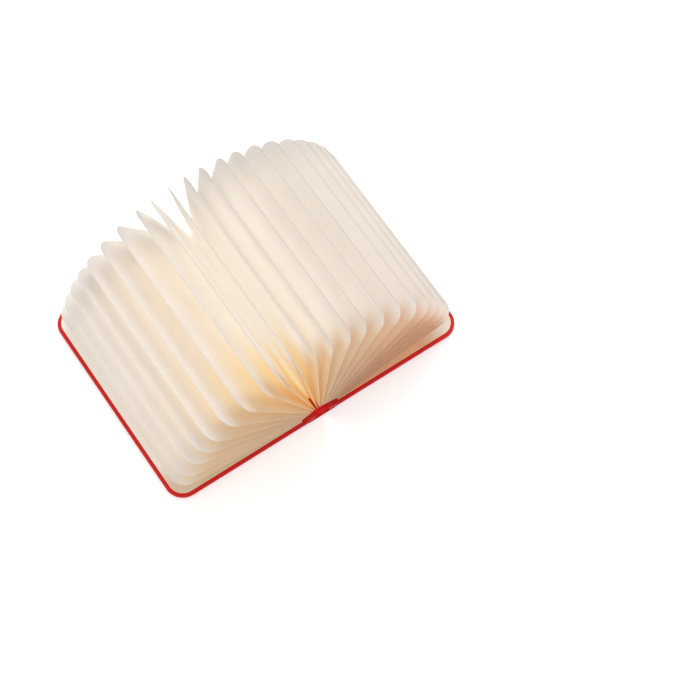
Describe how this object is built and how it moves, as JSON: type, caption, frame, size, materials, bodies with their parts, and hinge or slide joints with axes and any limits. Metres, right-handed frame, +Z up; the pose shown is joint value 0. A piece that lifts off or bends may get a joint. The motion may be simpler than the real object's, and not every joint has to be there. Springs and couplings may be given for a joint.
{
  "type": "folding book lamp",
  "caption": "Folding book lamp: hard covers hinge on a lit spine, and a fan of folded translucent pages opens between them as its shade.",
  "frame": {"origin": "on the table plane, under the middle of the spine, with the lamp lying open and flat", "axes": "+X from the left cover's fore-edge to the right cover's, across the spine; +Y along the spine, from its tail to its head; +Z up"},
  "size_m": [0.2152, 0.15, 0.0973],
  "materials": {
    "red_cloth": "bright red bookbinding cloth, matt",
    "grey_cloth": "dark grey woven strip, matt",
    "board": "grey-brown binder's board",
    "paper": "thin cream paper-like sheet that light shines through, matt",
    "white_plastic": "moulded, fine grain",
    "cell_foil": "laminated foil pouch",
    "light_board": "white lacquered circuit board",
    "control_board": "green lacquered circuit board",
    "lit_chip": "clear resin over yellow phosphor, lit warm white",
    "diffuser": "milky, lit warm white from inside",
    "red_plastic": "moulded, satin",
    "steel": "plain bright metal",
    "indicator": "clear light pipe",
    "black_plastic": "moulded, matt"
  },
  "bodies": {
    "spine": {"spine_strip": "grey_cloth", "spine_cloth": "red_cloth", "spine_board": "board", "light_carrier": "white_plastic", "battery_cells": "cell_foil", "light_strip": "light_board", "light_chips": "lit_chip", "diffuser": "diffuser", "tail_cap": "red_plastic", "head_cap": "red_plastic", "control_board": "control_board", "charge_socket": "steel", "charge_indicator": "indicator", "opening_sensor": "black_plastic", "power_leads": "black_plastic", "cap_screws": "steel", "left_folds": "paper", "right_folds": "paper"},
    "left_cover": {"left_strip_flap": "grey_cloth", "left_cloth": "red_cloth", "left_board": "board", "left_pastedown": "paper", "left_magnets": "steel", "sensor_magnet": "steel"},
    "right_cover": {"right_strip_flap": "grey_cloth", "right_cloth": "red_cloth", "right_board": "board", "right_pastedown": "paper", "right_magnets": "steel"},
    "leaf_01": {"page_01": "paper"},
    "leaf_02": {"page_02": "paper"},
    "leaf_03": {"page_03": "paper"},
    "leaf_04": {"page_04": "paper"},
    "leaf_05": {"page_05": "paper"},
    "leaf_06": {"page_06": "paper"},
    "leaf_07": {"page_07": "paper"},
    "leaf_08": {"page_08": "paper"},
    "leaf_09": {"page_09": "paper"},
    "leaf_10": {"page_10": "paper"},
    "leaf_11": {"page_11": "paper"},
    "leaf_12": {"page_12": "paper"},
    "leaf_13": {"page_13": "paper"},
    "leaf_14": {"page_14": "paper"},
    "leaf_15": {"page_15": "paper"},
    "leaf_16": {"page_16": "paper"},
    "leaf_17": {"page_17": "paper"},
    "leaf_18": {"page_18": "paper"},
    "leaf_19": {"page_19": "paper"},
    "leaf_20": {"page_20": "paper"},
    "leaf_21": {"page_21": "paper"}
  },
  "joints": [
    {"name": "left_cover_hinge", "type": "hinge", "parent": "spine", "child": "left_cover", "pos_m": [-0.0103, 0, 0.0004], "axis": [0, 1, 0], "range_deg": [-90, 90], "deforming": ["left_folds"]},
    {"name": "right_cover_hinge", "type": "hinge", "parent": "spine", "child": "right_cover", "pos_m": [0.0103, 0, 0.0004], "axis": [0, -1, 0], "range_deg": [-90, 90], "deforming": ["right_folds"]},
    {"name": "page_01_hinge", "type": "hinge", "parent": "spine", "child": "leaf_01", "pos_m": [-0.0095, 0, 0.0022], "axis": [0, 1, 0], "range_deg": [-84, 84]},
    {"name": "page_02_hinge", "type": "hinge", "parent": "spine", "child": "leaf_02", "pos_m": [-0.00855, 0, 0.0022], "axis": [0, 1, 0], "range_deg": [-75.9, 75.9]},
    {"name": "page_03_hinge", "type": "hinge", "parent": "spine", "child": "leaf_03", "pos_m": [-0.0076, 0, 0.0022], "axis": [0, 1, 0], "range_deg": [-67.4, 67.4]},
    {"name": "page_04_hinge", "type": "hinge", "parent": "spine", "child": "leaf_04", "pos_m": [-0.00665, 0, 0.0022], "axis": [0, 1, 0], "range_deg": [-59.9, 59.9]},
    {"name": "page_05_hinge", "type": "hinge", "parent": "spine", "child": "leaf_05", "pos_m": [-0.0057, 0, 0.0022], "axis": [0, 1, 0], "range_deg": [-52.8, 52.8]},
    {"name": "page_06_hinge", "type": "hinge", "parent": "spine", "child": "leaf_06", "pos_m": [-0.00475, 0, 0.0022], "axis": [0, 1, 0], "range_deg": [-43.8, 43.8]},
    {"name": "page_07_hinge", "type": "hinge", "parent": "spine", "child": "leaf_07", "pos_m": [-0.0038, 0, 0.0022], "axis": [0, 1, 0], "range_deg": [-34.7, 34.7]},
    {"name": "page_08_hinge", "type": "hinge", "parent": "spine", "child": "leaf_08", "pos_m": [-0.00285, 0, 0.0022], "axis": [0, 1, 0], "range_deg": [-25.2, 25.2]},
    {"name": "page_09_hinge", "type": "hinge", "parent": "spine", "child": "leaf_09", "pos_m": [-0.0019, 0, 0.0022], "axis": [0, 1, 0], "range_deg": [-18.6, 18.6]},
    {"name": "page_10_hinge", "type": "hinge", "parent": "spine", "child": "leaf_10", "pos_m": [-0.00095, 0, 0.0022], "axis": [0, 1, 0], "range_deg": [-10.5, 10.5]},
    {"name": "page_11_hinge", "type": "hinge", "parent": "spine", "child": "leaf_11", "pos_m": [0, 0, 0.0022], "axis": [0, 1, 0], "range_deg": [-3.5, 3.5]},
    {"name": "page_12_hinge", "type": "hinge", "parent": "spine", "child": "leaf_12", "pos_m": [0.00095, 0, 0.0022], "axis": [0, -1, 0], "range_deg": [-4.5, 4.5]},
    {"name": "page_13_hinge", "type": "hinge", "parent": "spine", "child": "leaf_13", "pos_m": [0.0019, 0, 0.0022], "axis": [0, -1, 0], "range_deg": [-12.6, 12.6]},
    {"name": "page_14_hinge", "type": "hinge", "parent": "spine", "child": "leaf_14", "pos_m": [0.00285, 0, 0.0022], "axis": [0, -1, 0], "range_deg": [-19.7, 19.7]},
    {"name": "page_15_hinge", "type": "hinge", "parent": "spine", "child": "leaf_15", "pos_m": [0.0038, 0, 0.0022], "axis": [0, -1, 0], "range_deg": [-28.2, 28.2]},
    {"name": "page_16_hinge", "type": "hinge", "parent": "spine", "child": "leaf_16", "pos_m": [0.00475, 0, 0.0022], "axis": [0, -1, 0], "range_deg": [-36.8, 36.8]},
    {"name": "page_17_hinge", "type": "hinge", "parent": "spine", "child": "leaf_17", "pos_m": [0.0057, 0, 0.0022], "axis": [0, -1, 0], "range_deg": [-46.3, 46.3]},
    {"name": "page_18_hinge", "type": "hinge", "parent": "spine", "child": "leaf_18", "pos_m": [0.00665, 0, 0.0022], "axis": [0, -1, 0], "range_deg": [-54.4, 54.4]},
    {"name": "page_19_hinge", "type": "hinge", "parent": "spine", "child": "leaf_19", "pos_m": [0.0076, 0, 0.0022], "axis": [0, -1, 0], "range_deg": [-61.9, 61.9]},
    {"name": "page_20_hinge", "type": "hinge", "parent": "spine", "child": "leaf_20", "pos_m": [0.00855, 0, 0.0022], "axis": [0, -1, 0], "range_deg": [-70, 70]},
    {"name": "page_21_hinge", "type": "hinge", "parent": "spine", "child": "leaf_21", "pos_m": [0.0095, 0, 0.0022], "axis": [0, -1, 0], "range_deg": [-78, 78]}
  ],
  "couplings": [
    {"joint": "page_01_hinge", "follows": "left_cover_hinge", "ratio": 0.92778},
    {"joint": "page_02_hinge", "follows": "left_cover_hinge", "ratio": 0.83833},
    {"joint": "page_03_hinge", "follows": "left_cover_hinge", "ratio": 0.74333},
    {"joint": "page_04_hinge", "follows": "left_cover_hinge", "ratio": 0.65944},
    {"joint": "page_05_hinge", "follows": "left_cover_hinge", "ratio": 0.58111},
    {"joint": "page_06_hinge", "follows": "left_cover_hinge", "ratio": 0.48056},
    {"joint": "page_07_hinge", "follows": "left_cover_hinge", "ratio": 0.38},
    {"joint": "page_08_hinge", "follows": "left_cover_hinge", "ratio": 0.27389},
    {"joint": "page_09_hinge", "follows": "left_cover_hinge", "ratio": 0.20111},
    {"joint": "page_10_hinge", "follows": "left_cover_hinge", "ratio": 0.11167},
    {"joint": "page_11_hinge", "follows": "left_cover_hinge", "ratio": 0.033333},
    {"joint": "page_12_hinge", "follows": "right_cover_hinge", "ratio": 0.045},
    {"joint": "page_13_hinge", "follows": "right_cover_hinge", "ratio": 0.13444},
    {"joint": "page_14_hinge", "follows": "right_cover_hinge", "ratio": 0.21278},
    {"joint": "page_15_hinge", "follows": "right_cover_hinge", "ratio": 0.30778},
    {"joint": "page_16_hinge", "follows": "right_cover_hinge", "ratio": 0.40278},
    {"joint": "page_17_hinge", "follows": "right_cover_hinge", "ratio": 0.50889},
    {"joint": "page_18_hinge", "follows": "right_cover_hinge", "ratio": 0.59833},
    {"joint": "page_19_hinge", "follows": "right_cover_hinge", "ratio": 0.68222},
    {"joint": "page_20_hinge", "follows": "right_cover_hinge", "ratio": 0.77167},
    {"joint": "page_21_hinge", "follows": "right_cover_hinge", "ratio": 0.86111}
  ]
}
